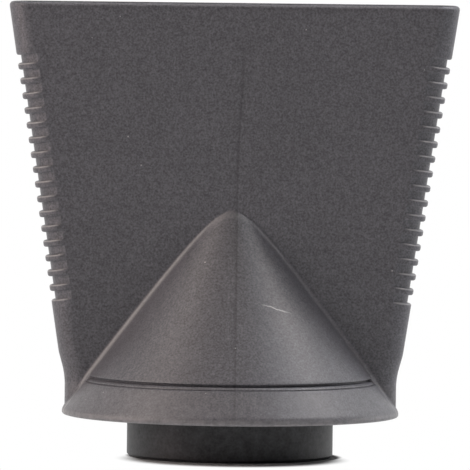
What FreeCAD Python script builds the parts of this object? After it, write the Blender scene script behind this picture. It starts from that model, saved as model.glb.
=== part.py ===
"""Concentrator nozzle for a hair dryer with a ring-shaped outlet.

A round skirt and cone carry a flat, hollow blade that ends in a long air slot. Ribs down both ends of
the blade give the fingers a hold. A black plug under the cone closes the middle of the dryer's outlet,
and magnets in its seating ring hold the nozzle on.

Millimetres. +Z runs up the axis from the plug to the air slot, X is the blade's width and Y its depth.
The origin is the middle of the plug's flat underside.
"""
import FreeCAD, Part
import os
import Sketcher

TOLERANCE = 1e-4

SIZES = {
    # Whole nozzle
    "total_height": (96.9, "underside of the plug to the lip of the air slot"),
    "rim_height": (8.9, "underside of the plug to the underside of the rim"),
    "wall": (1.8, "wall of the cone and the blade"),
    # Skirt and cone
    "rim_diameter": (72.0, "outside of the rim"),
    "rim_land": (1.2, "upright band round the rim below the cone"),
    "rim_chamfer": (0.4, "chamfer of the rim's lower edge"),
    "cone_half_angle": (36.4, "slope of the cone from the axis, degrees"),
    "cone_blend": (0.4, "sloping band where the cone runs into the blade, along each surface"),
    # Groove round the foot of the cone, at the front and the back
    "groove_rise": (8.2, "rim's underside to the middle of the groove"),
    "groove_width": (1.0, "along the slope of the cone"),
    "groove_depth": (0.8, "square to the cone's surface"),
    "groove_end_gap": (1.2, "face of the blade to the ends of the groove"),
    # Blade
    "lip_width": (96.8, "width of the blade at the lip"),
    "blade_thickness": (9.0, "outside, front face to back face"),
    "end_crest": (0.2, "flat left along the crest of the rounded ends"),
    "neck_inset": (0.55, "rim's outside to the upright foot of the blade's ends"),
    "neck_rise": (8.3, "rim's underside to the bend above the upright foot"),
    "shoulder_bulge": (0.612, "how far the shoulder stands out past a line from the bend to the lip"),
    "shoulder_rise": (4.9, "bend above the foot to the shoulder"),
    "neck_bend": (16.0, "radius of the bend above the foot"),
    "shoulder_bend": (8.0, "radius of the bend at the shoulder"),
    "lip_chamfer": (0.5, "chamfer of the lip's outer edge"),
    # Finger ribs down both ends of the blade
    "rib_rise": (24.3, "rim's underside to the lowest slot between ribs"),
    "rib_drop": (11.1, "lip to the highest slot between ribs"),
    "rib_thickness": (1.14, "each rib, along the blade's end"),
    "rib_depth": (0.9, "depth of the slots between the ribs"),
    "slot_count": (17, "slots between and beside the ribs, each end"),
    # Seat for the base inside the skirt
    "rim_wall": (3.0, "rim's outside to the seat's bore"),
    "seat_depth": (3.5, "rim's underside to the ledge"),
    "ledge_width": (3.5, "how far the ledge stands in from the bore"),
    "ledge_thickness": (1.5, "along the axis"),
    # Base
    "ring_clearance": (0.1, "seating ring to the bore, each side"),
    "ring_recess": (0.5, "rim's underside to the seating ring's underside"),
    "ring_width": (4.4, "seating ring, inside to outside"),
    "plug_diameter": (44.0, "plug that closes the middle of the outlet"),
    "plug_wall": (2.0, "side wall of the plug"),
    "plug_floor": (2.0, "floor of the plug"),
    "plug_chamfer": (0.6, "chamfer of the plug's lower edge"),
    "plug_step": (0.5, "how far the plug's wall steps in above the rim's underside"),
    "spoke_count": (4, "spokes from the plug to the seating ring"),
    "spoke_width": (2.0, "each spoke"),
    # Magnets in the seating ring
    "magnet_count": (4, "evenly spaced round the ring"),
    "magnet_length": (10.0, "along the ring"),
    "magnet_width": (2.4, "across the ring"),
    "magnet_thickness": (1.6, "along the axis"),
    "magnet_clearance": (0.05, "pocket to magnet, each face but the floor"),
}

doc = FreeCAD.newDocument("concentrator_nozzle")


def make_sheet():
    """Puts every driving size in the sheet: name, value with its alias, and what it measures."""
    sheet = doc.addObject("Spreadsheet::Sheet", "sizes")
    for row, (name, (value, note)) in enumerate(SIZES.items(), start=1):
        sheet.set(f"A{row}", name)
        sheet.set(f"B{row}", str(value))
        sheet.setAlias(f"B{row}", name)
        sheet.set(f"C{row}", note)
    doc.recompute()
    return sheet


sizes = make_sheet()


def number(expression):
    """Value of an expression on the sheet, in millimetres or degrees."""
    value = sizes.evalExpression(expression)
    return float(getattr(value, "Value", value))


# Heights and radii that several pieces share, written as expressions on the sheet
RIM_RADIUS = "(sizes.rim_diameter / 2)"
LAND_TOP = "(sizes.rim_height + sizes.rim_land)"
CONE_SLOPE = "tan(sizes.cone_half_angle * 1 deg)"
CONE_COS = "cos(sizes.cone_half_angle * 1 deg)"

BLADE_HALF = "(sizes.blade_thickness / 2)"
NECK_HALF = f"({RIM_RADIUS} - sizes.neck_inset)"
NECK_HEIGHT = "(sizes.rim_height + sizes.neck_rise)"
SHOULDER_HEIGHT = f"({NECK_HEIGHT} + sizes.shoulder_rise)"
END_SLOPE = f"((sizes.lip_width / 2 - {NECK_HALF}) / (sizes.total_height - {NECK_HEIGHT}))"
SHOULDER_HALF = f"({NECK_HALF} + {END_SLOPE} * sizes.shoulder_rise + sizes.shoulder_bulge)"
EDGE_SLOPE = f"((sizes.lip_width / 2 - {SHOULDER_HALF}) / (sizes.total_height - {SHOULDER_HEIGHT}))"
ABOVE_LIP = "(sizes.total_height + sizes.wall)"

SEAT_RADIUS = f"({RIM_RADIUS} - sizes.rim_wall)"
SEAT_TOP = "(sizes.rim_height + sizes.seat_depth)"
LEDGE_RADIUS = f"({SEAT_RADIUS} - sizes.ledge_width)"
LEDGE_TOP = f"({SEAT_TOP} + sizes.ledge_thickness)"

RING_OUTER = f"({SEAT_RADIUS} - sizes.ring_clearance)"
RING_INNER = f"({RING_OUTER} - sizes.ring_width)"
RING_MIDDLE = f"({RING_OUTER} - sizes.ring_width / 2)"
RING_BOTTOM = "(sizes.rim_height + sizes.ring_recess)"
PLUG_RADIUS = "(sizes.plug_diameter / 2)"
PLUG_NECK = f"({PLUG_RADIUS} - sizes.plug_step)"
PLUG_BORE = f"({PLUG_RADIUS} - sizes.plug_wall)"
POCKET_FLOOR = f"({SEAT_TOP} - sizes.magnet_thickness - sizes.magnet_clearance)"

RIB_BOTTOM = "(sizes.rim_height + sizes.rib_rise)"
RIB_ZONE = f"((sizes.total_height - sizes.rib_drop - {RIB_BOTTOM}) * sqrt(1 + {EDGE_SLOPE} ^ 2))"
RIB_PITCH = f"(({RIB_ZONE} + sizes.rib_thickness) / sizes.slot_count)"


def cone_radius(height):
    """Outside radius of the cone at a height, as an expression."""
    return f"({RIM_RADIUS} - {CONE_SLOPE} * ({height} - {LAND_TOP}))"


def cone_height(radius):
    """Height at which the cone's outside has a radius, as an expression."""
    return f"({LAND_TOP} + ({RIM_RADIUS} - {radius}) / {CONE_SLOPE})"


def edge_half(height):
    """Half width of the blade at a height above the shoulder, as an expression."""
    return f"({SHOULDER_HALF} + {EDGE_SLOPE} * ({height} - {SHOULDER_HEIGHT}))"


def inner_half(height):
    """Half width of the air passage, straight from the bend above the foot to the lip, as an expression."""
    return f"({NECK_HALF} - sizes.wall + {END_SLOPE} * ({height} - {NECK_HEIGHT}))"


def add_sketch(body, name, role):
    """Adds an empty sketch on one of the body's own origin planes."""
    plane = next(part for part in body.Origin.OriginFeatures if part.Role == role)
    sketch = body.newObject("Sketcher::SketchObject", name)
    sketch.AttachmentSupport = [(plane, "")]
    sketch.MapMode = "FlatFace"
    return sketch


def pin_coordinate(sketch, kind, line, expression):
    """Ties one coordinate of a line's start to an expression, or to the sketch's axis where it is 0."""
    if expression == "0":
        axis = -2 if kind == "DistanceX" else -1
        sketch.addConstraint(Sketcher.Constraint("PointOnObject", line, 1, axis))
        return
    constraint = Sketcher.Constraint(kind, -1, 1, line, 1, number(expression))
    index = sketch.addConstraint(constraint)
    sketch.setExpression(f"Constraints[{index}]", expression)


def add_outline(sketch, corners):
    """Adds a closed outline of straight lines whose corners are pairs of expressions."""
    points = [FreeCAD.Vector(number(x), number(y), 0) for x, y in corners]
    lines = [
        sketch.addGeometry(Part.LineSegment(start, end), False)
        for start, end in zip(points, points[1:] + points[:1])
    ]
    for line, following in zip(lines, lines[1:] + lines[:1]):
        sketch.addConstraint(Sketcher.Constraint("Coincident", line, 2, following, 1))
    for line, (x, y) in zip(lines, corners):
        pin_coordinate(sketch, "DistanceX", line, x)
        pin_coordinate(sketch, "DistanceY", line, y)


def add_feature(body, kind, name, **expressions):
    """Adds a PartDesign feature and binds its sizes to the sheet."""
    feature = body.newObject(f"PartDesign::{kind}", name)
    for size, expression in expressions.items():
        feature.setExpression(size, expression)
    return feature


def revolve(body, sketch, name, kind="Revolution"):
    """Turns a sketch once round the axis, adding or cutting."""
    feature = add_feature(body, kind, name)
    feature.Profile = sketch
    feature.ReferenceAxis = (sketch, ["V_Axis"])
    feature.Angle = 360
    doc.recompute()
    return feature


def dress(body, name, kind, wanted, **expressions):
    """Rounds or chamfers the edges of the body's tip that pass a test."""
    base = body.Tip
    names = [f"Edge{index}" for index, edge in enumerate(base.Shape.Edges, start=1) if wanted(edge)]
    if not names:
        raise RuntimeError(f"{name}: no edge found")
    feature = add_feature(body, kind, name, **expressions)
    feature.Base = (base, names)
    doc.recompute()
    return feature


def is_level(edge, height):
    """True for an edge that lies in the plane at a height."""
    box = edge.BoundBox
    return max(abs(box.ZMin - height), abs(box.ZMax - height)) < TOLERANCE


def add_blade(body, right, thickness, bends=()):
    """Adds a blade with rounded ends.

    right is the outline of its right end from the foot up, mirrored for the left. bends are pairs of a
    height and the radius that rounds the outline's corners there.
    """
    name = body.Name
    sketch = add_sketch(body, f"{name}_outline", "XZ_Plane")
    left = [(f"-{x}", z) for x, z in reversed(right)]
    add_outline(sketch, right + left)
    pad = add_feature(body, "Pad", f"{name}_pad", Length=thickness)
    pad.Profile = sketch
    pad.SideType = "Symmetric"
    doc.recompute()
    for count, (height, radius) in enumerate(bends, start=1):
        level = number(height)
        dress(body, f"{name}_bend_{count}", "Fillet", lambda edge: is_level(edge, level), Radius=radius)

    face = number(thickness) / 2

    def runs_down_an_end(edge):
        box = edge.BoundBox
        on_face = abs(abs(edge.CenterOfMass.y) - face) < TOLERANCE
        return on_face and box.YLength < TOLERANCE and box.ZLength > TOLERANCE

    dress(body, f"{name}_ends", "Fillet", runs_down_an_end, Radius=f"({thickness} - sizes.end_crest) / 2")


def make_blank():
    """Solid outside of the shell: blade, cone and rim."""
    body = doc.addObject("PartDesign::Body", "shell_blank")
    right = [
        (NECK_HALF, "sizes.rim_height"),
        (NECK_HALF, NECK_HEIGHT),
        (SHOULDER_HALF, SHOULDER_HEIGHT),
        ("(sizes.lip_width / 2)", "sizes.total_height"),
    ]
    bends = [(NECK_HEIGHT, "sizes.neck_bend"), (SHOULDER_HEIGHT, "sizes.shoulder_bend")]
    add_blade(body, right, "sizes.blade_thickness", bends)

    tip_radius = "(sizes.blade_thickness / 4)"
    profile = add_sketch(body, "cone_profile", "XZ_Plane")
    add_outline(profile, [
        ("0", "sizes.rim_height"),
        (f"({RIM_RADIUS} - sizes.rim_chamfer)", "sizes.rim_height"),
        (RIM_RADIUS, "(sizes.rim_height + sizes.rim_chamfer)"),
        (RIM_RADIUS, LAND_TOP),
        (tip_radius, cone_height(tip_radius)),
        ("0", cone_height(tip_radius)),
    ])
    revolve(body, profile, "cone")

    rim_radius = number(RIM_RADIUS)
    land_top = number(LAND_TOP)
    slope = number(CONE_SLOPE)
    lip = number("sizes.total_height")

    def on_cone(point):
        radius = rim_radius - slope * (point.z - land_top)
        return abs(FreeCAD.Vector(point.x, point.y, 0).Length - radius) < TOLERANCE

    def joins_cone_and_blade(edge):
        if edge.Curve.TypeId in ("Part::GeomLine", "Part::GeomCircle"):
            return False
        return all(on_cone(edge.valueAt(at)) for at in edge.ParameterRange)

    dress(body, "cone_band", "Chamfer", joins_cone_and_blade, Size="sizes.cone_blend")
    dress(body, "lip_edge", "Chamfer", lambda edge: is_level(edge, lip), Size="sizes.lip_chamfer")
    return body


def make_groove():
    """What the groove takes out of the cone, front and back: level walls, a floor parallel to the cone."""
    body = doc.addObject("PartDesign::Body", "groove_ring")
    middle_height = "(sizes.rim_height + sizes.groove_rise)"
    middle_radius = cone_radius(middle_height)
    half_turn = f"acos(({BLADE_HALF} + sizes.groove_end_gap) / {middle_radius})"
    half_height = f"(sizes.groove_width / 2 * {CONE_COS})"
    low = f"({middle_height} - {half_height})"
    high = f"({middle_height} + {half_height})"
    depth = f"(sizes.groove_depth / {CONE_COS})"
    sketch = add_sketch(body, "groove_profile", "YZ_Plane")
    for side in ("", "-"):
        add_outline(sketch, [
            (f"{side}({cone_radius(low)} - {depth})", low),
            (f"{side}({cone_radius(low)} + {depth})", low),
            (f"{side}({cone_radius(high)} + {depth})", high),
            (f"{side}({cone_radius(high)} - {depth})", high),
        ])
    arcs = add_feature(body, "Revolution", "groove_arcs", Angle=f"2 * {half_turn}")
    arcs.Profile = sketch
    arcs.ReferenceAxis = (sketch, ["V_Axis"])
    arcs.Midplane = True
    doc.recompute()
    return body


def make_air_core():
    """The air passage: the inside of the cone and the blade, and the seat for the base."""
    body = doc.addObject("PartDesign::Body", "air_core")
    gap = "(sizes.blade_thickness - 2 * sizes.wall)"
    add_blade(body, [(inner_half(LEDGE_TOP), LEDGE_TOP), (inner_half(ABOVE_LIP), ABOVE_LIP)], gap)

    inner_offset = f"sizes.wall / {CONE_COS}"
    tip_radius = f"({gap} / 4)"
    profile = add_sketch(body, "core_profile", "XZ_Plane")
    below_rim = "(sizes.rim_height - sizes.wall)"
    add_outline(profile, [
        ("0", below_rim),
        (SEAT_RADIUS, below_rim),
        (SEAT_RADIUS, SEAT_TOP),
        (LEDGE_RADIUS, SEAT_TOP),
        (LEDGE_RADIUS, LEDGE_TOP),
        (f"({cone_radius(LEDGE_TOP)} - {inner_offset})", LEDGE_TOP),
        (tip_radius, cone_height(f"({tip_radius} + {inner_offset})")),
        ("0", cone_height(f"({tip_radius} + {inner_offset})")),
    ])
    revolve(body, profile, "core_cone")
    return body


def make_rib_slots():
    """The slots between the finger ribs, square to the blade's slanting ends.

    A row of slabs across one end, less a narrower blade that is left as their floor, and its mirror image.
    """
    slabs = doc.addObject("PartDesign::Body", "slot_slabs")
    sketch = add_sketch(slabs, "slot_outline", "XZ_Plane")
    sketch.setExpression("AttachmentOffset.Base.x", edge_half(RIB_BOTTOM))
    sketch.setExpression("AttachmentOffset.Base.y", RIB_BOTTOM)
    sketch.setExpression("AttachmentOffset.Rotation.Angle", f"-atan({EDGE_SLOPE})")
    slot_height = f"({RIB_PITCH} - sizes.rib_thickness)"
    inside = "(-sizes.blade_thickness)"
    add_outline(sketch, [
        (inside, "0"),
        ("sizes.wall", "0"),
        ("sizes.wall", slot_height),
        (inside, slot_height),
    ])
    slab = add_feature(slabs, "Pad", "slot_slab", Length="sizes.blade_thickness")
    slab.Profile = sketch
    slab.SideType = "Symmetric"
    doc.recompute()
    rows = add_feature(
        slabs, "LinearPattern", "slot_rows",
        Length=f"{RIB_PITCH} * (sizes.slot_count - 1)", Occurrences="sizes.slot_count",
    )
    rows.Originals = [slab]
    rows.Direction = (sketch, ["V_Axis"])
    slabs.Tip = rows
    doc.recompute()

    floor = doc.addObject("PartDesign::Body", "slot_floor")
    right = [
        (f"({edge_half(height)} - sizes.rib_depth)", height)
        for height in (SHOULDER_HEIGHT, ABOVE_LIP)
    ]
    add_blade(floor, right, "(sizes.blade_thickness + sizes.end_crest)")
    right = cut("right_slots", slabs, floor)
    left = doc.addObject("Part::Mirroring", "left_slots")
    left.Source = right
    left.Normal = (1, 0, 0)
    both = doc.addObject("Part::Compound", "rib_slots")
    both.Links = [right, left]
    doc.recompute()
    return both


def cut(name, base, tool):
    """Subtracts one piece from another."""
    result = doc.addObject("Part::Cut", name)
    result.Base = base
    result.Tool = tool
    doc.recompute()
    if any(len(solid.Shells) > 1 for solid in result.Shape.Solids):
        raise RuntimeError(f"{name}: the cut left a closed hollow")
    return result


def make_shell():
    """The grey moulding."""
    ribbed = cut("ribbed_blank", make_blank(), make_rib_slots())
    grooved = cut("grooved_blank", ribbed, make_groove())
    return cut("nozzle_shell", grooved, make_air_core())


def make_base():
    """The black moulding: plug, spokes and seating ring, with a pocket for each magnet."""
    body = doc.addObject("PartDesign::Body", "base_plug")
    cup = add_sketch(body, "plug_profile", "XZ_Plane")
    add_outline(cup, [
        ("0", "0"),
        (f"({PLUG_RADIUS} - sizes.plug_chamfer)", "0"),
        (PLUG_RADIUS, "sizes.plug_chamfer"),
        (PLUG_RADIUS, "sizes.rim_height"),
        (PLUG_NECK, "sizes.rim_height"),
        (PLUG_NECK, SEAT_TOP),
        (PLUG_BORE, SEAT_TOP),
        (PLUG_BORE, "sizes.plug_floor"),
        ("0", "sizes.plug_floor"),
    ])
    revolve(body, cup, "plug")

    sketch = add_sketch(body, "spoke_outline", "XY_Plane")
    sketch.setExpression("AttachmentOffset.Base.z", RING_BOTTOM)
    sketch.setExpression("AttachmentOffset.Rotation.Angle", "180 deg / sizes.spoke_count")
    half = "(sizes.spoke_width / 2)"
    start = f"(({PLUG_NECK} + {PLUG_BORE}) / 2)"
    add_outline(sketch, [(start, f"-{half}"), (RING_MIDDLE, f"-{half}"), (RING_MIDDLE, half), (start, half)])
    spoke = add_feature(body, "Pad", "spoke", Length=f"{SEAT_TOP} - {RING_BOTTOM}")
    spoke.Profile = sketch
    doc.recompute()
    spread(body, spoke, "spokes", "sizes.spoke_count")

    ring = add_sketch(body, "ring_profile", "XZ_Plane")
    add_outline(ring, [
        (RING_INNER, RING_BOTTOM),
        (RING_OUTER, RING_BOTTOM),
        (RING_OUTER, SEAT_TOP),
        (RING_INNER, SEAT_TOP),
    ])
    revolve(body, ring, "seating_ring")

    sketch = add_sketch(body, "pocket_outline", "XY_Plane")
    sketch.setExpression("AttachmentOffset.Base.z", SEAT_TOP)
    half_width = "(sizes.magnet_width / 2 + sizes.magnet_clearance)"
    half_length = "(sizes.magnet_length / 2 + sizes.magnet_clearance)"
    near = f"({RING_MIDDLE} - {half_width})"
    far = f"({RING_MIDDLE} + {half_width})"
    add_outline(sketch, [(near, f"-{half_length}"), (far, f"-{half_length}"), (far, half_length), (near, half_length)])
    volume = body.Shape.Volume
    pocket = add_feature(body, "Pocket", "magnet_pocket", Length=f"{SEAT_TOP} - {POCKET_FLOOR}")
    pocket.Profile = sketch
    doc.recompute()
    if body.Shape.Volume >= volume:
        raise RuntimeError("the magnet pocket cut nothing")
    spread(body, pocket, "magnet_pockets", "sizes.magnet_count")
    return body


def spread(body, feature, name, count):
    """Repeats a feature evenly round the axis."""
    pattern = add_feature(body, "PolarPattern", name, Occurrences=count)
    pattern.Originals = [feature]
    pattern.Axis = (feature.Profile[0], ["N_Axis"])
    pattern.Angle = 360
    body.Tip = pattern
    doc.recompute()


def make_magnets():
    """The block magnets, each on the floor of its pocket."""
    blocks = []
    count = int(number("sizes.magnet_count"))
    for index in range(count):
        turn = f"({index} * 360 deg / sizes.magnet_count)"
        near = f"({RING_MIDDLE} - sizes.magnet_width / 2)"
        half_length = "(sizes.magnet_length / 2)"
        block = doc.addObject("Part::Box", f"magnet_{index + 1}")
        block.setExpression("Length", "sizes.magnet_width")
        block.setExpression("Width", "sizes.magnet_length")
        block.setExpression("Height", "sizes.magnet_thickness")
        block.setExpression("Placement.Rotation.Angle", turn)
        block.setExpression("Placement.Base.x", f"{near} * cos{turn} + {half_length} * sin{turn}")
        block.setExpression("Placement.Base.y", f"{near} * sin{turn} - {half_length} * cos{turn}")
        block.setExpression("Placement.Base.z", POCKET_FLOOR)
        blocks.append(block)
    group = doc.addObject("Part::Compound", "magnets")
    group.Links = blocks
    doc.recompute()
    return group


def write_parts(pieces):
    """Checks the whole document, then writes each piece to its own file."""
    for item in doc.Objects:
        if "Invalid" in item.State or "Error" in item.State:
            raise RuntimeError(f"{item.Name} failed: {item.State}")
    for piece in pieces:
        if piece.Shape.isNull() or not piece.Shape.isValid():
            raise RuntimeError(f"{piece.Label} has no valid shape")
    os.makedirs("parts", exist_ok=True)
    for piece in pieces:
        piece.Shape.exportStep(f"parts/{piece.Label}.step")
        print(piece.Label, len(piece.Shape.Solids), "solids,", round(piece.Shape.Volume, 1), "mm3")


write_parts([make_shell(), make_base(), make_magnets()])
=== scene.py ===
"""Looks of the concentrator nozzle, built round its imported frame.

Metres, in the frame's own axes: +Z up from the plug to the air slot, X the blade's width, Y its depth,
with the front at -Y.
"""

import math

import bmesh
import bpy
from mathutils import Matrix, Vector


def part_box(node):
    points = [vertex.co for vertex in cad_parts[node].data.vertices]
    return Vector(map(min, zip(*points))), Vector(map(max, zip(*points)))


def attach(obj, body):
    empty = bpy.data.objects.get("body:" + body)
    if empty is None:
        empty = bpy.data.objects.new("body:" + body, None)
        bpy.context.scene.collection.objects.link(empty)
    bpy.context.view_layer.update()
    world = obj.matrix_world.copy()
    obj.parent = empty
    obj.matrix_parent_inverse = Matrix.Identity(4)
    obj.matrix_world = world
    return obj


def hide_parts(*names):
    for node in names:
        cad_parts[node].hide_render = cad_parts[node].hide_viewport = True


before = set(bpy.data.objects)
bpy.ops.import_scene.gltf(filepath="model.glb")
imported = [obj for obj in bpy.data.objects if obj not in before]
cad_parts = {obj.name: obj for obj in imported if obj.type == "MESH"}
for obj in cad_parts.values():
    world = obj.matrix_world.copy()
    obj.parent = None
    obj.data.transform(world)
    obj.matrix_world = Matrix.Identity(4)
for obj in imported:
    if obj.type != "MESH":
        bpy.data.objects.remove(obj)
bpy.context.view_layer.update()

MM = 0.001

# Sizes of the shell: the outside ones come from the frame, the others are the part's own
shell_low, shell_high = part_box("nozzle_shell")
RIM_BOTTOM = shell_low.z
LIP_TOP = shell_high.z
RIM_RADIUS = shell_high.y
LAND_TOP = RIM_BOTTOM + 1.2 * MM
CONE_SLOPE = math.tan(math.radians(36.4))
WALL = 1.8 * MM
CONE_WALL = WALL / math.cos(math.atan(CONE_SLOPE))

BLADE_HALF = 4.5 * MM
AIR_HALF = BLADE_HALF - WALL
LIP_HALF = 48.2 * MM
NECK_HALF = RIM_RADIUS - 0.55 * MM
NECK_HEIGHT = RIM_BOTTOM + 8.3 * MM
NECK_BEND = 16 * MM
SHOULDER_RISE = 4.9 * MM
SHOULDER_BULGE = 0.58 * MM
SHOULDER_BEND = 8 * MM

# The groove is cut deep in its upper half. Below that it has a shallow step with a fine crease at its foot
GROOVE_MIDDLE = RIM_BOTTOM + 7.78 * MM
GROOVE_HALF_HEIGHT = 0.62 * MM
GROOVE_DEPTH = 0.9 * MM
GROOVE_EDGE = 0.12 * MM
GROOVE_CREASE = 0.12 * MM
GROOVE_CREASE_DEPTH = 0.36 * MM
GROOVE_STEP = 0.68 * MM
GROOVE_STEP_DEPTH = 0.2 * MM
GROOVE_END_GAP = 2.2 * MM

RIBS_BOTTOM = RIM_BOTTOM + 24.3 * MM
RIBS_TOP = LIP_TOP - 11.55 * MM
RIB_THICKNESS = 1.42 * MM
RIB_DEPTH = 0.9 * MM
RIB_EDGE = 0.42 * MM
SLOT_FOOT = 0.15 * MM
SLOT_COUNT = 17

SEAT_RADIUS = RIM_RADIUS - 3 * MM
SEAT_TOP = RIM_BOTTOM + 3.5 * MM
LEDGE_RADIUS = SEAT_RADIUS - 3.5 * MM
LEDGE_TOP = SEAT_TOP + 1.5 * MM

# Roundings that the moulding has
RIM_EDGE = 0.45 * MM
LAND_EDGE = 0.75 * MM
LIP_EDGE = 0.95 * MM
INNER_EDGE = 0.3 * MM
CONE_FILLET = 1.6 * MM
APEX_ROUND = 0.8 * MM
AIR_FILLET = 0.5 * MM

# Steps along a quarter of a level section, and along a rounded edge
ARC_STEPS = 22
FILLET_STEPS = 4
FLAT_MARGIN = 0.15 * MM
END_ANGLES_DEG = (87, 83, 77, 68, 58, 47, 36, 24, 12, 0)
EDGE_STEPS = 3

# Numbers of sections, and how far below the tips of cone and passage the close ones lie
LAND_STEPS = 4
FOOT_STEPS = 44
TOP_STEPS = 10
APEX_DROPS_MM = (-0.8, -0.76, -0.68, -0.55, -0.4, -0.2, 0.05, 0.3, 0.6, 1.0, 1.4)
AIR_STEPS = 8
AIR_APEX_DROPS_MM = (0.0, 0.02, 0.08, 0.18, 0.32, 0.5, 0.75, 1.05, 1.4, 1.8)
AIR_CONE_STEPS = 24

# Vertices closer than this are one
SAME_PLACE = 0.004 * MM
BASE_SAME_PLACE = 0.002 * MM
BASE_EDGE = 0.2 * MM


def bend(height, corner, tangent, before, after):
    """How far a line has moved from a corner where it turns from one slope to another, rounded there."""
    along = height - corner
    if along <= -tangent:
        return before * along
    if along >= tangent:
        return after * along
    return before * along + (after - before) * (along + tangent) ** 2 / (4 * tangent)


END_SLOPE = (LIP_HALF - NECK_HALF) / (LIP_TOP - NECK_HEIGHT)
SHOULDER_HEIGHT = NECK_HEIGHT + SHOULDER_RISE
SHOULDER_HALF = NECK_HALF + END_SLOPE * SHOULDER_RISE + SHOULDER_BULGE
STEP_SLOPE = (SHOULDER_HALF - NECK_HALF) / SHOULDER_RISE
EDGE_SLOPE = (LIP_HALF - SHOULDER_HALF) / (LIP_TOP - SHOULDER_HEIGHT)
EDGE_LEAN = math.atan(EDGE_SLOPE)
NECK_TANGENT = NECK_BEND * math.tan(math.atan(STEP_SLOPE) / 2)
SHOULDER_TANGENT = SHOULDER_BEND * math.tan((math.atan(STEP_SLOPE) - EDGE_LEAN) / 2)
RIB_PITCH = ((RIBS_TOP - RIBS_BOTTOM) / math.cos(EDGE_LEAN) + RIB_THICKNESS) / SLOT_COUNT


def blade_half_width(height):
    """Half width of the blade's outside: an upright foot, a bend to the shoulder, then a slant to the lip."""
    middle = NECK_HEIGHT + SHOULDER_RISE / 2
    if height < middle:
        return NECK_HALF + bend(height, NECK_HEIGHT, NECK_TANGENT, 0, STEP_SLOPE)
    return SHOULDER_HALF + bend(height, SHOULDER_HEIGHT, SHOULDER_TANGENT, STEP_SLOPE, EDGE_SLOPE)


def air_half_width(height):
    """Half width of the air passage in the blade."""
    return NECK_HALF - WALL + END_SLOPE * (height - NECK_HEIGHT)


def cone_radius(height):
    """Outside radius of rim and cone, with the edge between them rounded."""
    return RIM_RADIUS + bend(height, LAND_TOP, LAND_EDGE, 0, -CONE_SLOPE)


def cone_height(radius):
    """Height at which the cone's outside has a radius."""
    return LAND_TOP + (RIM_RADIUS - radius) / CONE_SLOPE


GROOVE_TURN = math.acos((BLADE_HALF + GROOVE_END_GAP) / cone_radius(GROOVE_MIDDLE))
GROOVE_SHARE = GROOVE_TURN / math.acos(
    (BLADE_HALF + CONE_FILLET) / (cone_radius(GROOVE_MIDDLE) + CONE_FILLET)
)


def quarter(height, radius, half_width, half_depth, fillet, slot=0.0, groove=0.0, lean=0.0):
    """A quarter of a level section, from the middle of the front to the crest of the right end.

    It is the cone's circle and the blade's rounded oblong in one outline, with a fillet in the corner
    between them. slot is the depth of a finger slot at the crest, groove how far the circle is cut in,
    and lean the tilt of the section at the blade's end.
    """
    end_x = half_width - half_depth * math.cos(lean)
    if radius >= half_width:
        turn, centre, stop = math.pi / 2, None, math.pi / 2
    elif radius <= half_depth:
        turn, centre, stop = 0.0, None, 0.0
    else:
        reach = radius + fillet
        near = half_depth + fillet
        across = math.sqrt(reach ** 2 - near ** 2)
        if across > end_x:
            across = (reach ** 2 - near ** 2 + end_x ** 2) / (2 * end_x)
            near = math.sqrt(max(reach ** 2 - across ** 2, 0.0))
        centre = Vector((across, -near))
        turn = math.atan2(across, near)
        stop = math.atan2(max(across - end_x, 0.0), near)

    cut = radius - groove
    points = []
    for step in range(ARC_STEPS + 1):
        angle = turn * GROOVE_SHARE * step / ARC_STEPS
        points.append((cut * math.sin(angle), -cut * math.cos(angle)))
    for angle in (turn * GROOVE_SHARE, turn):
        points.append((radius * math.sin(angle), -radius * math.cos(angle)))
    if centre is None and radius <= half_depth:
        points = [(0.0, -half_depth)] * len(points)

    for step in range(1, FILLET_STEPS + 1):
        if centre is None:
            points.append(points[-1])
            continue
        start = math.pi / 2 + turn
        angle = start + (math.pi / 2 + stop - start) * step / FILLET_STEPS
        points.append((centre.x + fillet * math.cos(angle), centre.y + fillet * math.sin(angle)))

    # The flat has a narrow strip along both its sides, which keeps the shading of its middle even
    last_x, last_y = points[-1]
    swallowed = radius >= half_width
    length = 0.0 if swallowed else max(end_x - last_x, 0.0)
    margin = min(FLAT_MARGIN, length / 4)
    for along in (margin, length / 2, length - margin, length):
        points.append((last_x + along, last_y))

    section = [Vector((x, y, height)) for x, y in points]
    begin = math.pi / 2 - stop
    crest_height = height - half_depth * math.sin(lean)
    for end_angle in END_ANGLES_DEG:
        if swallowed:
            section.append(section[-1].copy())
            continue
        angle = begin * end_angle / 90
        reach = half_depth - slot * math.sqrt(math.cos(angle))
        inward = half_depth - reach * math.cos(angle)
        section.append(Vector((
            half_width - inward * math.cos(lean),
            -reach * math.sin(angle),
            crest_height + inward * math.sin(lean),
        )))
    return section


def rounded(size):
    """Steps of a quarter round: how far along it runs and how far it has dropped."""
    angles = [step / EDGE_STEPS * math.pi / 2 for step in range(EDGE_STEPS + 1)]
    return [(size * math.sin(angle), size * (1 - math.cos(angle))) for angle in angles]


def slot_rows():
    """Heights at the crest and depths of the finger slots' outline, from the lowest slot up."""
    slot_height = RIB_PITCH - RIB_THICKNESS
    rise, fall = zip(*rounded(RIB_EDGE))
    foot_run, foot_rise = zip(*rounded(SLOT_FOOT))
    lower_half = [(run - RIB_EDGE, drop) for run, drop in zip(rise, fall)]
    lower_half += [
        (SLOT_FOOT - run, RIB_DEPTH - drop)
        for run, drop in zip(reversed(foot_run), reversed(foot_rise))
    ]
    whole = lower_half + [(slot_height - along, depth) for along, depth in reversed(lower_half)]
    rows = []
    for slot in range(SLOT_COUNT):
        for along, depth in whole:
            rows.append((RIBS_BOTTOM + (slot * RIB_PITCH + along) * math.cos(EDGE_LEAN), depth))
    return rows


def ease(value, low, high):
    """0 below low, 1 above high, smooth between them."""
    share = min(max((value - low) / (high - low), 0.0), 1.0)
    return share * share * (3 - 2 * share)


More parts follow.
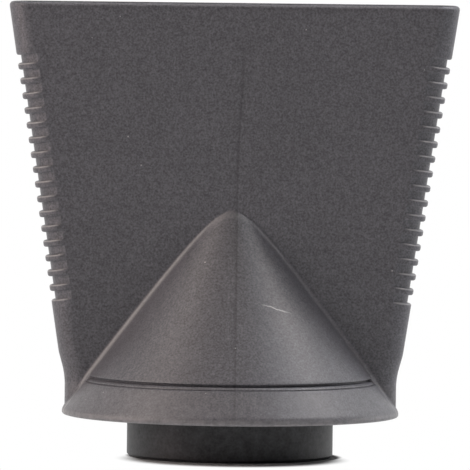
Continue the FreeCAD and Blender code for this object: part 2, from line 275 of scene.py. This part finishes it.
def outside_sections():
    """Sections of the outside, from the rim's lower edge to the lip."""
    sections = []
    for run, drop in rounded(RIM_EDGE):
        inset = RIM_EDGE - run
        height = RIM_BOTTOM + drop
        sections.append(quarter(height, RIM_RADIUS - inset, NECK_HALF - inset, BLADE_HALF, CONE_FILLET))

    slots = slot_rows()
    plain = [LAND_TOP + LAND_EDGE * step / LAND_STEPS for step in range(-LAND_STEPS, LAND_STEPS + 1)]
    foot_top = slots[0][0]
    plain += [plain[-1] + (foot_top - plain[-1]) * step / FOOT_STEPS for step in range(1, FOOT_STEPS)]
    groove_low = GROOVE_MIDDLE - GROOVE_HALF_HEIGHT
    groove_high = GROOVE_MIDDLE + GROOVE_HALF_HEIGHT
    plain = [
        height for height in plain
        if not groove_low - GROOVE_EDGE < height < groove_high + GROOVE_EDGE
    ]
    rows = [(height, 0.0, 0.0) for height in plain]
    rows += [
        (groove_low - GROOVE_EDGE, 0.0, 0.0),
        (groove_low, 0.0, GROOVE_EDGE),
        (groove_low, 0.0, GROOVE_CREASE_DEPTH),
        (groove_low + GROOVE_CREASE, 0.0, GROOVE_CREASE_DEPTH),
        (groove_low + GROOVE_CREASE, 0.0, GROOVE_STEP_DEPTH),
        (groove_low + GROOVE_STEP, 0.0, GROOVE_STEP_DEPTH),
        (groove_low + GROOVE_STEP, 0.0, GROOVE_DEPTH),
        (groove_high, 0.0, GROOVE_DEPTH),
        (groove_high, 0.0, GROOVE_EDGE),
        (groove_high + GROOVE_EDGE, 0.0, 0.0),
    ]
    rows.sort(key=lambda row: row[0])

    rows += [(height, depth, 0.0) for height, depth in slots]
    lip_foot = LIP_TOP - LIP_EDGE
    rows += [
        (slots[-1][0] + (lip_foot - slots[-1][0]) * step / TOP_STEPS, 0.0, 0.0)
        for step in range(1, TOP_STEPS + 1)
    ]

    def lean_at(height):
        """Tilt of a section: square to the slanting ends along the ribs, level at the foot and the lip."""
        begun = ease(height, SHOULDER_HEIGHT, RIBS_BOTTOM - MM)
        ended = ease(height, RIBS_TOP + MM, lip_foot)
        return EDGE_LEAN * begun * (1 - ended)

    # More sections where the cone's tip rises out of the blade
    apex = cone_height(BLADE_HALF)
    for drop in APEX_DROPS_MM:
        height = apex - drop * MM - BLADE_HALF * math.sin(EDGE_LEAN)
        above = next(index for index, row in enumerate(rows) if row[0] > height)
        low, high = rows[above - 1], rows[above]
        share = (height - low[0]) / (high[0] - low[0])
        rows.insert(above, (height, low[1] + (high[1] - low[1]) * share, 0.0))

    for crest_height, slot, groove in rows:
        lean = lean_at(crest_height)
        height = crest_height + BLADE_HALF * math.sin(lean)
        radius = cone_radius(height)
        if height > apex - APEX_ROUND:
            radius = BLADE_HALF + bend(height, apex, APEX_ROUND, -CONE_SLOPE, 0)
        sections.append(quarter(
            height, radius, blade_half_width(crest_height), BLADE_HALF, CONE_FILLET, slot, groove, lean,
        ))
    for run, drop in rounded(LIP_EDGE)[1:]:
        height = lip_foot + run
        half_width = blade_half_width(height) - drop
        sections.append(quarter(height, 0.0, half_width, BLADE_HALF - drop, CONE_FILLET))
    return sections


def inside_sections():
    """Sections of the inside, from the lip down the air passage to the seat and the rim's underside."""
    sections = []
    for run, drop in reversed(rounded(INNER_EDGE)):
        height = LIP_TOP - INNER_EDGE + run
        sections.append(quarter(height, 0.0, air_half_width(height) + drop, AIR_HALF + drop, AIR_FILLET))
    apex = cone_height(AIR_HALF + CONE_WALL)
    heights = [LIP_TOP - (LIP_TOP - apex) * step / AIR_STEPS for step in range(1, AIR_STEPS)]
    heights += [apex - drop * MM for drop in AIR_APEX_DROPS_MM]
    cone_run = heights[-1] - LEDGE_TOP
    heights += [heights[-1] - cone_run * step / AIR_CONE_STEPS for step in range(1, AIR_CONE_STEPS + 1)]
    for height in heights:
        radius = cone_radius(height) - CONE_WALL
        sections.append(quarter(height, radius, air_half_width(height), AIR_HALF, AIR_FILLET))
    rings = [
        (LEDGE_TOP, LEDGE_RADIUS + INNER_EDGE),
        (LEDGE_TOP - INNER_EDGE, LEDGE_RADIUS),
        (SEAT_TOP, LEDGE_RADIUS),
        (SEAT_TOP, SEAT_RADIUS),
        (RIM_BOTTOM + INNER_EDGE, SEAT_RADIUS),
        (RIM_BOTTOM, SEAT_RADIUS + INNER_EDGE),
    ]
    sections += [quarter(height, radius, 0.0, 0.0, AIR_FILLET) for height, radius in rings]
    return sections


def whole_loop(section):
    """A closed section from its quarter, mirrored to the back and to the left."""
    right = section + [Vector((p.x, -p.y, p.z)) for p in reversed(section[:-1])]
    left = [Vector((-p.x, p.y, p.z)) for p in reversed(right)]
    return right + left[1:]


def new_piece(name, bm, material, node):
    """Makes a finished mesh a piece that stands for a node of the frame."""
    mesh = bpy.data.meshes.new(name)
    bm.to_mesh(mesh)
    bm.free()
    mesh.shade_smooth()
    piece = bpy.data.objects.new(name, mesh)
    bpy.context.scene.collection.objects.link(piece)
    mesh.materials.append(material)
    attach(piece, "root")
    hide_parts(node)
    return piece


def even_shading(piece):
    """Keeps large faces flat and lets the small ones beside them carry the turn."""
    weighted = piece.modifiers.new("even shading", "WEIGHTED_NORMAL")
    weighted.mode = "FACE_AREA"
    weighted.weight = 50
    weighted.keep_sharp = True


def make_shell(material):
    """The grey moulding: a sheet wrapped round its sections, outside and inside in one."""
    loops = [whole_loop(section) for section in outside_sections() + inside_sections()]
    loops.append(loops[0])
    rows = len(loops) - 1
    columns = len(loops[0]) - 1
    bm = bmesh.new()
    bmesh.ops.create_grid(bm, x_segments=columns, y_segments=rows, size=1)
    for vert in bm.verts:
        column = round((vert.co.x + 1) / 2 * columns)
        row = round((vert.co.y + 1) / 2 * rows)
        vert.co = loops[row][column]
    bmesh.ops.remove_doubles(bm, verts=bm.verts, dist=SAME_PLACE)
    bmesh.ops.recalc_face_normals(bm, faces=bm.faces)
    shell = new_piece("shell", bm, material, "nozzle_shell")
    even_shading(shell)
    return shell


def make_base(material):
    """The black moulding: the frame's own solid with its edges broken."""
    bm = bmesh.new()
    bm.from_mesh(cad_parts["base_plug"].data)
    bmesh.ops.remove_doubles(bm, verts=bm.verts, dist=BASE_SAME_PLACE)
    bmesh.ops.dissolve_limit(
        bm, angle_limit=math.radians(0.1), use_dissolve_boundaries=False, verts=bm.verts, edges=bm.edges,
        delimit=set(),
    )
    base = new_piece("base", bm, material, "base_plug")
    edges = base.modifiers.new("broken edges", "BEVEL")
    edges.width = BASE_EDGE
    edges.segments = 2
    edges.limit_method = "ANGLE"
    edges.angle_limit = math.radians(30)
    even_shading(base)
    return base


def linear(hex_colour):
    """Linear colour of an sRGB hex value."""
    channels = [int(hex_colour[index:index + 2], 16) / 255 for index in (1, 3, 5)]
    return [c / 12.92 if c <= 0.04045 else ((c + 0.055) / 1.055) ** 2.4 for c in channels] + [1.0]


def add(tree, kind, settings=None, inputs=None):
    """Adds a node with its settings, and sets or links its inputs."""
    node = tree.nodes.new(kind)
    for name, value in (settings or {}).items():
        setattr(node, name, value)
    for name, value in (inputs or {}).items():
        if isinstance(value, bpy.types.NodeSocket):
            tree.links.new(value, node.inputs[name])
        else:
            node.inputs[name].default_value = value
    return node


def new_material(name):
    """An empty material and its output node."""
    material = bpy.data.materials.new(name)
    material.use_nodes = True
    tree = material.node_tree
    tree.nodes.clear()
    return material, tree, tree.nodes.new("ShaderNodeOutputMaterial")


def per_metre(size_mm):
    """Texture scale at which a pattern repeats about every so many millimetres."""
    return 1 / (size_mm * MM)


# Marks on the shell: the weld line of the moulding, a scratch on the front of the cone, and specks of dust
WELD_PLACE = 1.08 * MM
WELD_BEND_HEIGHT = 62 * MM
WELD_LEAN = 0.05
WELD_SHARP_SIDE = 0.22 * MM
WELD_SOFT_SIDE = 0.9 * MM
WELD_STRENGTH = 0.34
WELD_FADES = 82 * MM
WELD_GONE = 92 * MM
SCRATCH_MIDDLE = (9.6 * MM, 0.0, 32.7 * MM)
SCRATCH_TILT_DEG = 18.0
SCRATCH_HALF_LENGTH = 3.7 * MM
SCRATCH_WIDTH = 0.16 * MM
SPECK_SPACING_MM = 5.6
SPECK_RADIUS_MM = 0.19

# Patterns in the plastics: the spark's grit, the mottling and clouds of the flow, the black moulding's grit
GRIT_MM = 0.42
MOTTLE_MM = 1.5
CLOUD_MM = 9
BASE_GRIT_MM = 0.5
BASE_MOTTLE_MM = 1.6
PLATING_CLOUD_MM = 1.2

# How pale the rim's edge and the band above it are painted, as light that the floor throws up, and how bright
# the highlight painted on the ribs' upper edges is; and how far in from the crest of the end that painted
# highlight starts and is full
RIM_EDGE_BOUNCE_LIGHT = 0.9
BAND_BOUNCE_LIGHT = 0.2
RIB_EDGE_HIGHLIGHT = 0.5
RIB_HIGHLIGHT_STARTS = 4.5 * MM
RIB_HIGHLIGHT_FULL = 2.6 * MM

# Gloss of the shell, of the fillet beside the blade and of the lip's top
SHELL_ROUGHNESS = 0.42
FILLET_ROUGHNESS = 0.35
LIP_ROUGHNESS = 0.75

# How bright the highlight painted on the fillet is on its left arm and on its right arm, and where the one
# turns into the other
LEFT_ARM_HIGHLIGHT = 0.45
RIGHT_ARM_HIGHLIGHT = 0.14
BRIGHT_ARM_X = -18 * MM
DIM_ARM_X = 2 * MM


def shell_plastic():
    """Glass-filled nylon from a spark-eroded mould: iron grey, a fine even grit that keeps it satin."""
    material, tree, output = new_material("iron grey nylon, spark-eroded")
    place = add(tree, "ShaderNodeTexCoord").outputs["Object"]
    axes = add(tree, "ShaderNodeSeparateXYZ", inputs={0: place}).outputs

    # Grit of the spark erosion, drawn a little coarser than it is so that it shows, and flow mottling
    grit = add(tree, "ShaderNodeTexNoise", inputs={
        "Vector": place, "Scale": per_metre(GRIT_MM), "Detail": 1.5, "Roughness": 0.6}).outputs["Fac"]
    mottle = add(tree, "ShaderNodeTexNoise", inputs={
        "Vector": place, "Scale": per_metre(MOTTLE_MM), "Detail": 2.0, "Roughness": 0.6}).outputs["Fac"]
    cloud = add(tree, "ShaderNodeTexNoise", inputs={
        "Vector": place, "Scale": per_metre(CLOUD_MM), "Detail": 3.0, "Roughness": 0.55}).outputs["Fac"]
    grit_share = add(tree, "ShaderNodeMapRange", inputs={
        "Value": grit, "From Min": 0.25, "From Max": 0.75}).outputs["Result"]
    grey = add(tree, "ShaderNodeMix", {"data_type": "RGBA"}, {
        "Factor": grit_share, "A": linear("#424246"), "B": linear("#6d6c72")}).outputs["Result"]
    mottle_tone = add(tree, "ShaderNodeMapRange", inputs={
        "Value": mottle, "From Min": 0.25, "From Max": 0.75,
        "To Min": 0.86, "To Max": 1.14}).outputs["Result"]
    cloud_tone = add(tree, "ShaderNodeMapRange", inputs={
        "Value": cloud, "From Min": 0.3, "From Max": 0.7,
        "To Min": 0.95, "To Max": 1.05}).outputs["Result"]
    tone = add(tree, "ShaderNodeMath", {"operation": "MULTIPLY"}, {0: mottle_tone, 1: cloud_tone}).outputs[0]
    plastic = add(tree, "ShaderNodeVectorMath", {"operation": "SCALE"}, {
        0: grey, "Scale": tone}).outputs["Vector"]

    # The weld line, where the melt closed behind the core: dark, sharp on its right side and soft on its
    # left, near the middle of the front and leaning to the right higher up
    rise = add(tree, "ShaderNodeMath", {"operation": "SUBTRACT"}, {
        0: axes["Z"], 1: WELD_BEND_HEIGHT}).outputs[0]
    above = add(tree, "ShaderNodeMath", {"operation": "MAXIMUM"}, {0: rise, 1: 0.0}).outputs[0]
    drift = add(tree, "ShaderNodeMath", {"operation": "MULTIPLY_ADD"}, {
        0: above, 1: WELD_LEAN, 2: WELD_PLACE}).outputs[0]
    beside = add(tree, "ShaderNodeMath", {"operation": "SUBTRACT"}, {0: axes["X"], 1: drift}).outputs[0]
    soft = add(tree, "ShaderNodeMapRange", {"interpolation_type": "SMOOTHSTEP"}, {
        "Value": beside, "From Min": -WELD_SOFT_SIDE, "From Max": 0.0}).outputs["Result"]
    sharp = add(tree, "ShaderNodeMapRange", {"interpolation_type": "SMOOTHSTEP"}, {
        "Value": beside, "From Min": 0.0, "From Max": WELD_SHARP_SIDE,
        "To Min": WELD_STRENGTH, "To Max": 0.0}).outputs["Result"]
    weld = add(tree, "ShaderNodeMath", {"operation": "MULTIPLY"}, {0: soft, 1: sharp}).outputs[0]
    fade = add(tree, "ShaderNodeMapRange", inputs={
        "Value": axes["Z"], "From Min": WELD_FADES, "From Max": WELD_GONE,
        "To Min": 1.0, "To Max": 0.0}).outputs["Result"]
    joined = add(tree, "ShaderNodeMath", {"operation": "MULTIPLY"}, {0: weld, 1: fade}).outputs[0]
    lined = add(tree, "ShaderNodeMix", {"data_type": "RGBA"}, {
        "Factor": joined, "A": plastic, "B": linear("#222122")}).outputs["Result"]

    # The scratch is a broken pale line, on the front only
    along = add(tree, "ShaderNodeSeparateXYZ", inputs={0: add(
        tree, "ShaderNodeMapping", {"vector_type": "TEXTURE"}, {
            "Vector": place, "Location": SCRATCH_MIDDLE,
            "Rotation": (0.0, math.radians(SCRATCH_TILT_DEG), 0.0)}).outputs["Vector"]}).outputs
    wander = add(tree, "ShaderNodeMapRange", inputs={
        "Value": mottle, "To Min": -0.3 * MM, "To Max": 0.3 * MM}).outputs["Result"]
    height = add(tree, "ShaderNodeMath", {"operation": "ADD"}, {0: along["Z"], 1: wander}).outputs[0]
    depth = add(tree, "ShaderNodeMath", {"operation": "ABSOLUTE"}, {0: height}).outputs[0]
    reach = add(tree, "ShaderNodeMath", {"operation": "ABSOLUTE"}, {0: along["X"]}).outputs[0]
    thin = add(tree, "ShaderNodeMapRange", inputs={
        "Value": depth, "From Min": 0.3 * SCRATCH_WIDTH, "From Max": SCRATCH_WIDTH,
        "To Min": 1.0, "To Max": 0.0}).outputs["Result"]
    short = add(tree, "ShaderNodeMapRange", inputs={
        "Value": reach, "From Min": 0.3 * SCRATCH_HALF_LENGTH, "From Max": SCRATCH_HALF_LENGTH,
        "To Min": 0.75, "To Max": 0.0}).outputs["Result"]
    front = add(tree, "ShaderNodeMath", {"operation": "LESS_THAN"}, {0: axes["Y"], 1: 0.0}).outputs[0]
    stroke = add(tree, "ShaderNodeMath", {"operation": "MULTIPLY"}, {0: thin, 1: short}).outputs[0]
    scratch = add(tree, "ShaderNodeMath", {"operation": "MULTIPLY"}, {0: stroke, 1: front}).outputs[0]
    scratched = add(tree, "ShaderNodeMix", {"data_type": "RGBA"}, {
        "Factor": scratch, "A": lined, "B": linear("#c9c6c7")}).outputs["Result"]

    # Specks of dust, few and far between
    speck = add(tree, "ShaderNodeTexVoronoi", inputs={
        "Vector": place, "Scale": per_metre(SPECK_SPACING_MM)}).outputs["Distance"]
    speck_size = SPECK_RADIUS_MM / SPECK_SPACING_MM
    dust = add(tree, "ShaderNodeMapRange", inputs={
        "Value": speck, "From Min": 0.6 * speck_size, "From Max": speck_size,
        "To Min": 0.5, "To Max": 0.0}).outputs["Result"]
    dusted = add(tree, "ShaderNodeMix", {"data_type": "RGBA"}, {
        "Factor": dust, "A": scratched, "B": linear("#d8d6d4")}).outputs["Result"]

    # The rim's edge is painted pale, and the band above it a little, in mottled patches: painted light that
    # the white floor throws up onto them
    edge = add(tree, "ShaderNodeMapRange", {"interpolation_type": "SMOOTHSTEP"}, {
        "Value": axes["Z"], "From Min": LAND_TOP - 0.4 * MM, "From Max": LAND_TOP + 0.5 * MM,
        "To Min": RIM_EDGE_BOUNCE_LIGHT, "To Max": 0.0}).outputs["Result"]
    band = add(tree, "ShaderNodeMapRange", {"interpolation_type": "SMOOTHSTEP"}, {
        "Value": axes["Z"], "From Min": GROOVE_MIDDLE - 2 * MM, "From Max": GROOVE_MIDDLE,
        "To Min": BAND_BOUNCE_LIGHT, "To Max": 0.0}).outputs["Result"]
    bounce_zones = add(tree, "ShaderNodeMath", {"operation": "MAXIMUM"}, {0: edge, 1: band}).outputs[0]
    bounce_patches = add(tree, "ShaderNodeMath", {"operation": "MULTIPLY"}, {0: bounce_zones, 1: mottle}).outputs[0]
    # Painted bounce light: the rim's edge and the band are mixed towards a pale grey
    bounce_lit = add(tree, "ShaderNodeMix", {"data_type": "RGBA"}, {
        "Factor": bounce_patches, "A": dusted, "B": linear("#959394")}).outputs["Result"]

    # The fillet between cone and blade was cut with a ball cutter, which leaves it smoother. A paler tone is
    # painted on it as a highlight
    depth_in = add(tree, "ShaderNodeMath", {"operation": "ABSOLUTE"}, {0: axes["Y"]}).outputs[0]
    outer = add(tree, "ShaderNodeMapRange", {"interpolation_type": "SMOOTHSTEP"}, {
        "Value": depth_in, "From Min": BLADE_HALF + 0.6 * MM, "From Max": BLADE_HALF + 1.5 * MM,
        "To Min": 1.0, "To Max": 0.0}).outputs["Result"]
    inner = add(tree, "ShaderNodeMapRange", {"interpolation_type": "SMOOTHSTEP"}, {
        "Value": depth_in, "From Min": BLADE_HALF + 0.01 * MM,
        "From Max": BLADE_HALF + 0.15 * MM}).outputs["Result"]
    cut = add(tree, "ShaderNodeMath", {"operation": "MULTIPLY"}, {0: outer, 1: inner}).outputs[0]
    # The painted highlight is brighter on the fillet's left arm than on the right one
    highlight_side = add(tree, "ShaderNodeMapRange", inputs={
        "Value": axes["X"], "From Min": BRIGHT_ARM_X, "From Max": DIM_ARM_X,
        "To Min": LEFT_ARM_HIGHLIGHT, "To Max": RIGHT_ARM_HIGHLIGHT}).outputs["Result"]
    fillet_highlight = add(tree, "ShaderNodeMath", {"operation": "MULTIPLY"}, {0: cut, 1: highlight_side}).outputs[0]
    # Painted highlight: the fillet is mixed towards a pale grey
    fillet_lit = add(tree, "ShaderNodeMix", {"data_type": "RGBA"}, {
        "Factor": fillet_highlight, "A": bounce_lit, "B": linear("#9a9899")}).outputs["Result"]
    satin = add(tree, "ShaderNodeMapRange", inputs={
        "Value": cut, "To Min": SHELL_ROUGHNESS, "To Max": FILLET_ROUGHNESS}).outputs["Result"]
    # The lip's top lies in the mould's parting plane and comes out duller
    dull = add(tree, "ShaderNodeMapRange", inputs={
        "Value": axes["Z"], "From Min": LIP_TOP - 0.3 * MM, "From Max": LIP_TOP - 0.05 * MM,
        "To Min": 0.0, "To Max": LIP_ROUGHNESS}).outputs["Result"]
    roughness = add(tree, "ShaderNodeMath", {"operation": "MAXIMUM"}, {0: satin, 1: dull}).outputs[0]

    # A highlight is painted on the upper edges of the finger ribs. They are counted along the slanting end,
    # and the painted highlight runs in from its crest
    folded = add(tree, "ShaderNodeVectorMath", {"operation": "ABSOLUTE"}, {0: place}).outputs["Vector"]
    crest = Vector((blade_half_width(RIBS_BOTTOM), 0.0, RIBS_BOTTOM))
    up_end = Vector((math.sin(EDGE_LEAN), 0.0, math.cos(EDGE_LEAN)))
    out_end = Vector((math.cos(EDGE_LEAN), 0.0, -math.sin(EDGE_LEAN)))
    climb = add(tree, "ShaderNodeVectorMath", {"operation": "DOT_PRODUCT"}, {
        0: folded, 1: up_end}).outputs["Value"]
    first_edge = crest.dot(up_end) - RIB_EDGE / 2
    count = add(tree, "ShaderNodeMapRange", {"clamp": False}, {
        "Value": climb, "From Min": first_edge, "From Max": first_edge + RIB_PITCH}).outputs["Result"]
    off_edge = add(tree, "ShaderNodeMath", {"operation": "PINGPONG"}, {0: count, 1: 0.5}).outputs[0]
    rib_highlight_mask = add(tree, "ShaderNodeMapRange", {"interpolation_type": "SMOOTHSTEP"}, {
        "Value": off_edge, "From Min": 0.02, "From Max": 0.07,
        "To Min": RIB_EDGE_HIGHLIGHT, "To Max": 0.0}).outputs["Result"]
    ribbed = add(tree, "ShaderNodeMath", {"operation": "COMPARE"}, {
        0: count, 1: SLOT_COUNT / 2 - 0.5, 2: SLOT_COUNT / 2}).outputs[0]
    outward = add(tree, "ShaderNodeVectorMath", {"operation": "DOT_PRODUCT"}, {
        0: folded, 1: out_end}).outputs["Value"]
    at_end = add(tree, "ShaderNodeMapRange", {"interpolation_type": "SMOOTHSTEP"}, {
        "Value": outward, "From Min": crest.dot(out_end) - RIB_HIGHLIGHT_STARTS,
        "From Max": crest.dot(out_end) - RIB_HIGHLIGHT_FULL}).outputs["Result"]
    on_ribs = add(tree, "ShaderNodeMath", {"operation": "MULTIPLY"}, {0: rib_highlight_mask, 1: ribbed}).outputs[0]
    rib_highlight = add(tree, "ShaderNodeMath", {"operation": "MULTIPLY"}, {0: on_ribs, 1: at_end}).outputs[0]
    # Painted highlight: the ribs' upper edges are mixed towards a pale grey
    ribs_highlighted = add(tree, "ShaderNodeMix", {"data_type": "RGBA"}, {
        "Factor": rib_highlight, "A": fillet_lit, "B": linear("#b4b2b2")}).outputs["Result"]

    bump = add(tree, "ShaderNodeBump", inputs={"Height": grit, "Strength": 0.5, "Distance": 0.03 * MM})
    shader = add(tree, "ShaderNodeBsdfPrincipled", inputs={
        "Base Color": ribs_highlighted, "Roughness": roughness, "IOR": 1.5, "Normal": bump.outputs["Normal"]})
    tree.links.new(shader.outputs["BSDF"], output.inputs["Surface"])
    return material


def base_plastic():
    """Black nylon, moulded: satin, with a grit that swallows part of the gloss."""
    material, tree, output = new_material("black nylon, satin")
    place = add(tree, "ShaderNodeTexCoord").outputs["Object"]
    grit = add(tree, "ShaderNodeTexNoise", inputs={
        "Vector": place, "Scale": per_metre(BASE_GRIT_MM), "Detail": 2.0})
    mottle = add(tree, "ShaderNodeTexNoise", inputs={
        "Vector": place, "Scale": per_metre(BASE_MOTTLE_MM), "Detail": 2.0, "Roughness": 0.6})
    grain = add(tree, "ShaderNodeMix", {"data_type": "FLOAT"}, {
        "Factor": 0.55, "A": grit.outputs["Fac"], "B": mottle.outputs["Fac"]})
    grain_share = add(tree, "ShaderNodeMapRange", inputs={
        "Value": grain.outputs["Result"], "From Min": 0.3, "From Max": 0.7})
    grey = add(tree, "ShaderNodeMix", {"data_type": "RGBA"}, {
        "Factor": grain_share.outputs["Result"], "A": linear("#040405"), "B": linear("#4a4a4d")})
    bump = add(tree, "ShaderNodeBump", inputs={
        "Height": grain.outputs["Result"], "Strength": 0.8, "Distance": 0.08 * MM})
    shader = add(tree, "ShaderNodeBsdfPrincipled", inputs={
        "Base Color": grey.outputs["Result"], "Roughness": 0.5, "IOR": 1.53, "Specular IOR Level": 0.4,
        "Normal": bump.outputs["Normal"]})
    tree.links.new(shader.outputs["BSDF"], output.inputs["Surface"])
    return material


def magnet_plating():
    """Nickel plating on sintered magnets: a warm grey metal, satin from tumbling."""
    material, tree, output = new_material("nickel plating, tumbled")
    place = add(tree, "ShaderNodeTexCoord").outputs["Object"]
    cloud = add(tree, "ShaderNodeTexNoise", inputs={
        "Vector": place, "Scale": per_metre(PLATING_CLOUD_MM), "Detail": 3.0})
    gloss = add(tree, "ShaderNodeMapRange", inputs={
        "Value": cloud.outputs["Fac"], "To Min": 0.24, "To Max": 0.36})
    shader = add(tree, "ShaderNodeBsdfPrincipled", inputs={
        "Base Color": linear("#d6d1c7"), "Metallic": 1.0, "Roughness": gloss.outputs["Result"]})
    tree.links.new(shader.outputs["BSDF"], output.inputs["Surface"])
    return material


# Where the photograph was taken from
PICTURE = 470
PIXELS_PER_MM = 4.677
RIM_PIXEL = (230.05, 414.8)
VIEW_HEIGHT_DEG = 3.25
VIEW_ROLL_DEG = 0.67
VIEW_DISTANCE = 3.0


def make_camera():
    """A long lens, a little above the nozzle, rolled so that its right end hangs lower."""
    height = math.radians(VIEW_HEIGHT_DEG)
    roll = math.radians(VIEW_ROLL_DEG)
    back = Vector((0, -math.cos(height), math.sin(height)))
    level_right = Vector((1, 0, 0))
    level_up = Vector((0, math.sin(height), math.cos(height)))
    right = level_right * math.cos(roll) + level_up * math.sin(roll)
    up = level_up * math.cos(roll) - level_right * math.sin(roll)
    rim_right = (RIM_PIXEL[0] - PICTURE / 2) / PIXELS_PER_MM * MM
    rim_up = (PICTURE / 2 - RIM_PIXEL[1]) / PIXELS_PER_MM * MM
    target = Vector((0, 0, RIM_BOTTOM)) - right * rim_right - up * rim_up
    data = bpy.data.cameras.new("camera")
    data.sensor_width = 36
    data.lens = data.sensor_width * VIEW_DISTANCE / (PICTURE / PIXELS_PER_MM * MM)
    data.clip_end = 20
    camera = bpy.data.objects.new("camera", data)
    camera.matrix_world = Matrix.Translation(target + back * VIEW_DISTANCE) @ Matrix(
        (right, up, back)).transposed().to_4x4()
    bpy.context.scene.collection.objects.link(camera)
    bpy.context.scene.camera = camera


def add_softbox(name, place, size, watts, colour):
    """A square softbox aimed at the middle of the nozzle."""
    data = bpy.data.lights.new(name, "AREA")
    data.size = size
    data.energy = watts
    data.color = linear(colour)[:3]
    light = bpy.data.objects.new(name, data)
    aim = Vector((0, 0, (RIM_BOTTOM + LIP_TOP) / 2))
    light.location = place
    light.rotation_mode = "QUATERNION"
    light.rotation_quaternion = (aim - light.location).to_track_quat("-Z", "Y")
    light.visible_camera = False
    bpy.context.scene.collection.objects.link(light)


def make_lights():
    """Large softboxes on the left and the right, smaller ones beside them, and one above the nozzle."""
    add_softbox("left softbox", Vector((-0.66, -0.24, 0.71)), 0.6, 3.05, "#ffeee4")
    add_softbox("left side", Vector((-0.84, -0.17, 0.52)), 0.6, 2.3, "#fffaf4")
    add_softbox("left low", Vector((-0.36, -0.12, 0.05)), 0.2, 0.26, "#ffe4e0")
    add_softbox("right softbox", Vector((0.56, 0.0, 0.83)), 0.6, 3.6, "#f6faff")
    add_softbox("right small", Vector((0.56, 0.10, 0.82)), 0.25, 1.3, "#ffeadc")
    add_softbox("right back", Vector((0.40, 0.22, 0.89)), 0.25, 2.1, "#e6f0ff")
    add_softbox("right low", Vector((0.85, 0.35, 0.40)), 0.6, 1.1, "#ffffff")
    add_softbox("top", Vector((0.0, -0.09, 1.0)), 0.6, 1.4, "#fff4ea")


def seen_directly(tree):
    """1 where the eye, a reflection or a clear body looks at a surface, 0 where it only gives light."""
    path = add(tree, "ShaderNodeLightPath").outputs
    eye = add(tree, "ShaderNodeMath", {"operation": "MAXIMUM"}, {
        0: path["Is Camera Ray"], 1: path["Is Glossy Ray"]}).outputs[0]
    return add(tree, "ShaderNodeMath", {"operation": "MAXIMUM"}, {
        0: eye, 1: path["Is Transmission Ray"]}).outputs[0]


def make_world():
    """White to the eye. Reflections see a white backdrop behind the nozzle and a dim room in front of it."""
    world = bpy.data.worlds.new("studio")
    bpy.context.scene.world = world
    world.use_nodes = True
    tree = world.node_tree
    tree.nodes.clear()
    output = tree.nodes.new("ShaderNodeOutputWorld")
    eye = add(tree, "ShaderNodeLightPath").outputs["Is Camera Ray"]
    way = add(tree, "ShaderNodeSeparateXYZ", inputs={
        0: add(tree, "ShaderNodeTexCoord").outputs["Generated"]}).outputs["Y"]
    backdrop = add(tree, "ShaderNodeMapRange", inputs={
        "Value": way, "From Min": -0.1, "From Max": 0.5, "To Min": 0.0, "To Max": 1.0}).outputs["Result"]
    seen = add(tree, "ShaderNodeMath", {"operation": "MAXIMUM"}, {0: eye, 1: backdrop}).outputs[0]
    light = add(tree, "ShaderNodeBackground", inputs={"Color": linear("#ffffff"), "Strength": 0.05})
    white = add(tree, "ShaderNodeBackground", inputs={"Color": linear("#ffffff"), "Strength": seen})
    mixed = add(tree, "ShaderNodeMixShader", inputs={
        0: seen_directly(tree), 1: light.outputs[0], 2: white.outputs[0]})
    tree.links.new(mixed.outputs[0], output.inputs["Surface"])


# Painted outlines of the shadow on the paper: a soft one in front of the plug and a narrow one where it
# stands. Outside them the paper glows white to the eye, inside them the lamps shade it. Each has its middle,
# the reach to which the shadow is full, and the reach at which the paper is white again
FRONT_SHADOW = ((0.7 * MM, -8.5 * MM, 0.0), 19.5 * MM, 25.5 * MM)
CONTACT_SHADOW = ((0.8 * MM, 0.0, 0.0), 22 * MM, 23.6 * MM)
FLOOR_HALF = 4
FLOOR_DROP = 0.02 * MM


def make_floor():
    """White paper: lamp-lit inside the painted shadow outlines round the plug, glowing plain white further
    out, and clear from below.
    """
    material, tree, output = new_material("white paper")
    place = add(tree, "ShaderNodeTexCoord").outputs["Object"]
    white_shares = []
    for middle, full, white_again in (FRONT_SHADOW, CONTACT_SHADOW):
        away = add(tree, "ShaderNodeVectorMath", {"operation": "DISTANCE"}, {
            0: place, 1: middle}).outputs["Value"]
        white_shares.append(add(tree, "ShaderNodeMapRange", {"interpolation_type": "SMOOTHSTEP"}, {
            "Value": away, "From Min": full, "From Max": white_again}).outputs["Result"])
    share = add(tree, "ShaderNodeMath", {"operation": "MINIMUM"}, {
        0: white_shares[0], 1: white_shares[1]}).outputs[0]
    # The paper glows white outside the painted outlines, which hides its own shadow there
    glow = add(tree, "ShaderNodeMath", {"operation": "MULTIPLY"}, {
        0: share, 1: seen_directly(tree)}).outputs[0]
    paper = add(tree, "ShaderNodeBsdfDiffuse", inputs={"Color": linear("#f2f2f2")})
    white = add(tree, "ShaderNodeEmission", inputs={"Color": linear("#ffffff"), "Strength": 1.0})
    both = add(tree, "ShaderNodeMixShader", inputs={0: glow, 1: paper.outputs[0], 2: white.outputs[0]})
    clear = add(tree, "ShaderNodeBsdfTransparent")
    below = add(tree, "ShaderNodeNewGeometry").outputs["Backfacing"]
    sheet = add(tree, "ShaderNodeMixShader", inputs={0: below, 1: both.outputs[0], 2: clear.outputs[0]})
    tree.links.new(sheet.outputs[0], output.inputs["Surface"])
    # A hair below the plug's underside, so that the two don't lie in one plane
    bm = bmesh.new()
    bmesh.ops.create_grid(
        bm, x_segments=1, y_segments=1, size=FLOOR_HALF, matrix=Matrix.Translation((0, 0, -FLOOR_DROP)),
    )
    mesh = bpy.data.meshes.new("floor")
    bm.to_mesh(mesh)
    bm.free()
    mesh.materials.append(material)
    floor = bpy.data.objects.new("floor", mesh)
    bpy.context.scene.collection.objects.link(floor)


make_shell(shell_plastic())
make_base(base_plastic())
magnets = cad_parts["magnets"]
magnets.data.materials.clear()
magnets.data.materials.append(magnet_plating())
make_camera()
make_lights()
make_world()
make_floor()
bpy.context.scene.view_settings.view_transform = "Standard"
